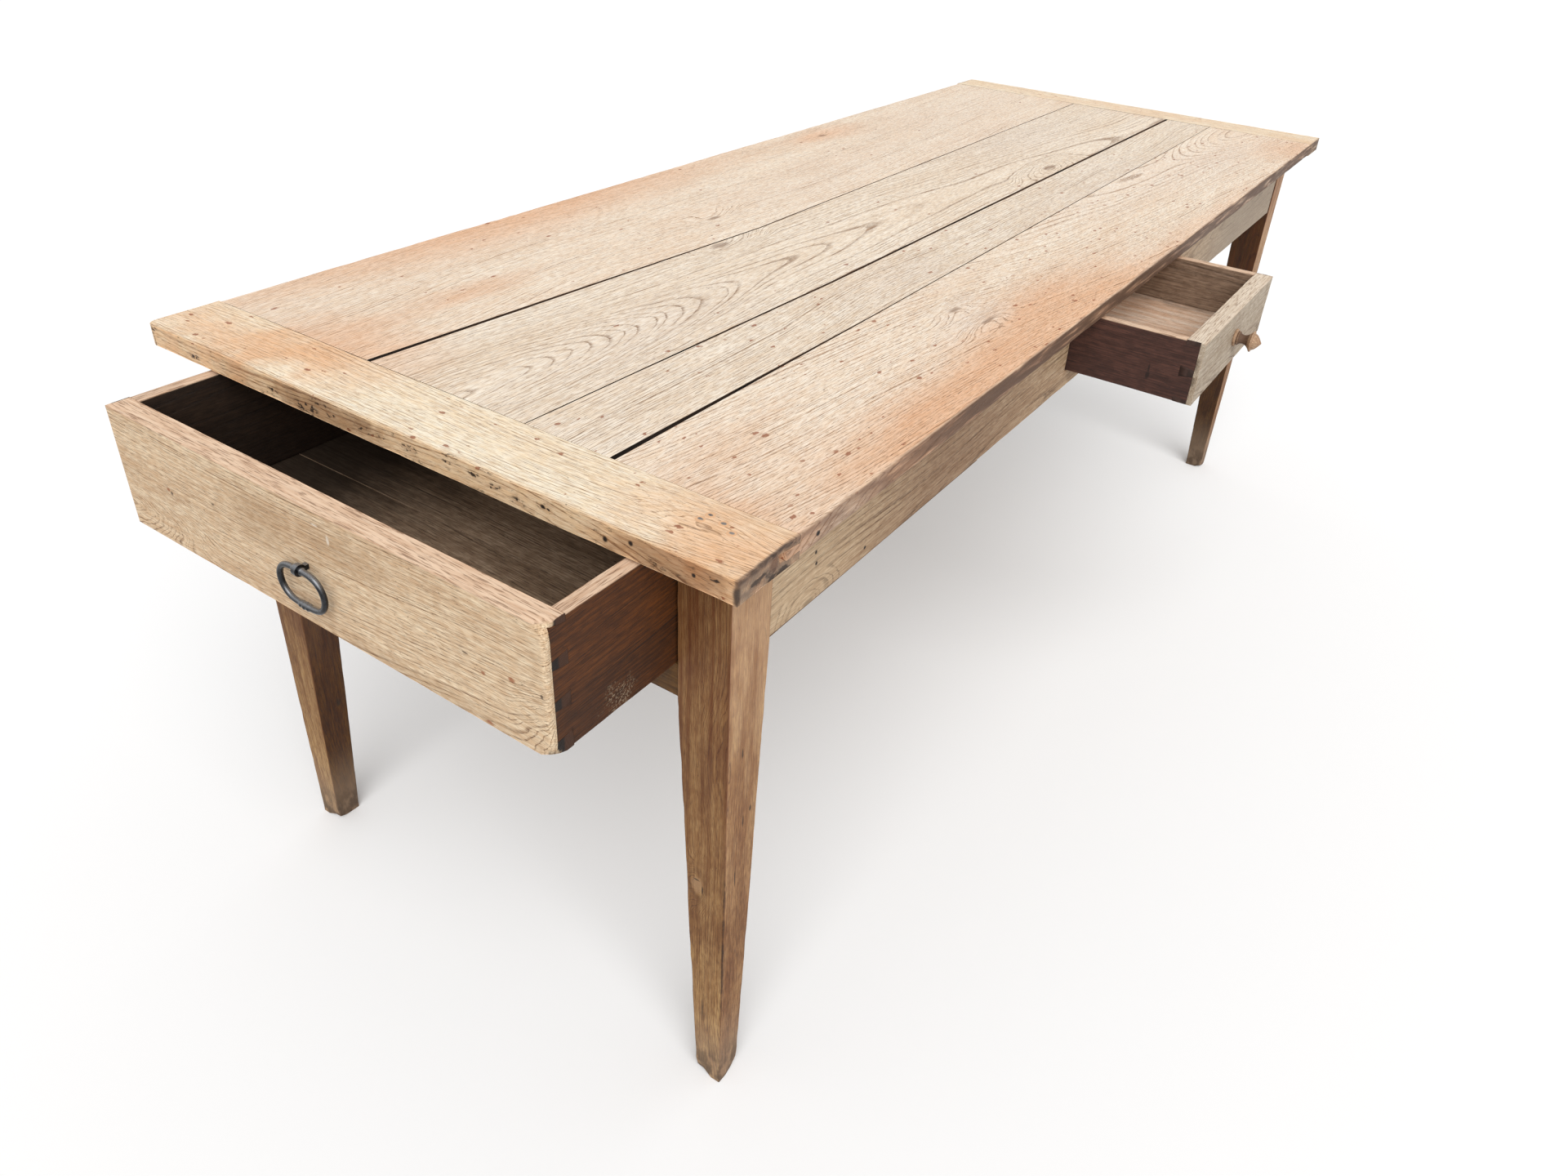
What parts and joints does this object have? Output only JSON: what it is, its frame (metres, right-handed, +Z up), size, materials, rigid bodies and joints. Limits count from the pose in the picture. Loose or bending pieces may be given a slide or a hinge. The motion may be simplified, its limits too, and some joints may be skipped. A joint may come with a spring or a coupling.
{
  "type": "farmhouse table",
  "caption": "Long oak farmhouse table: breadboard-ended plank top, square tapered legs, wide end drawer with a forged ring pull and small side drawer with a turned knob.",
  "frame": {"origin": "on the floor, under the middle of the whole object with both drawers open as they stand at rest", "axes": "+X along the length, from the end with the ring-pull drawer to the far end; +Y from the long side with the knob drawer to the back; +Z up"},
  "size_m": [2.163, 0.967, 0.76],
  "materials": {
    "top_oak": "scrubbed and waxed old oak, pale honey with orange-brown patches",
    "leg_oak": "worn mid-brown oak",
    "apron_oak": "greyish waxed oak",
    "runner_oak": "unfinished dark oak",
    "drawer_oak": "unfinished oak, dark with age",
    "drawer_front_oak": "scrubbed pale oak",
    "knob_wood": "turned, rubbed pinkish brown",
    "forged_iron": "black forged iron, rubbed",
    "nail_iron": "dark rusted iron"
  },
  "bodies": {
    "table": {"near_breadboard": "top_oak", "far_breadboard": "top_oak", "top_board_1": "top_oak", "top_board_2": "top_oak", "top_board_3": "top_oak", "top_board_4": "top_oak", "near_front_leg": "leg_oak", "near_back_leg": "leg_oak", "far_front_leg": "leg_oak", "far_back_leg": "leg_oak", "front_apron": "apron_oak", "back_apron": "apron_oak", "far_end_rail": "apron_oak", "drawer_rail": "apron_oak", "end_drawer_runner_front": "runner_oak", "end_drawer_runner_back": "runner_oak", "end_drawer_guide_front": "runner_oak", "end_drawer_guide_back": "runner_oak", "side_drawer_bearer_near": "runner_oak", "side_drawer_bearer_far": "runner_oak", "side_drawer_guide_near": "runner_oak", "side_drawer_guide_far": "runner_oak", "end_drawer_stops": "runner_oak", "side_drawer_stops": "runner_oak", "top_glue_blocks": "runner_oak", "top_nails": "nail_iron", "gear_nails": "nail_iron"},
    "end_drawer": {"end_drawer_front": "drawer_front_oak", "end_drawer_side_front": "drawer_oak", "end_drawer_side_back": "drawer_oak", "end_drawer_back": "drawer_oak", "end_drawer_bottom_1": "drawer_oak", "end_drawer_bottom_2": "drawer_oak", "end_drawer_bottom_3": "drawer_oak", "end_drawer_nails": "nail_iron", "ring_staple": "forged_iron"},
    "side_drawer": {"side_drawer_front": "drawer_front_oak", "side_drawer_side_near": "drawer_oak", "side_drawer_side_far": "drawer_oak", "side_drawer_back": "drawer_oak", "side_drawer_bottom": "drawer_oak", "side_drawer_nails": "nail_iron", "side_drawer_knob": "knob_wood"},
    "ring": {"pull_ring": "forged_iron"}
  },
  "joints": [
    {"name": "end_drawer_slide", "type": "slide", "parent": "table", "child": "end_drawer", "axis": [-1, 0, 0], "range_m": [-0.157, 0.2]},
    {"name": "side_drawer_slide", "type": "slide", "parent": "table", "child": "side_drawer", "axis": [0, -1, 0], "range_m": [-0.172, 0.15]},
    {"name": "ring_swing", "type": "hinge", "parent": "end_drawer", "child": "ring", "pos_m": [-1.0755, 0.0835, 0.666], "axis": [0, 1, 0], "range_deg": [-6, 170]}
  ]
}
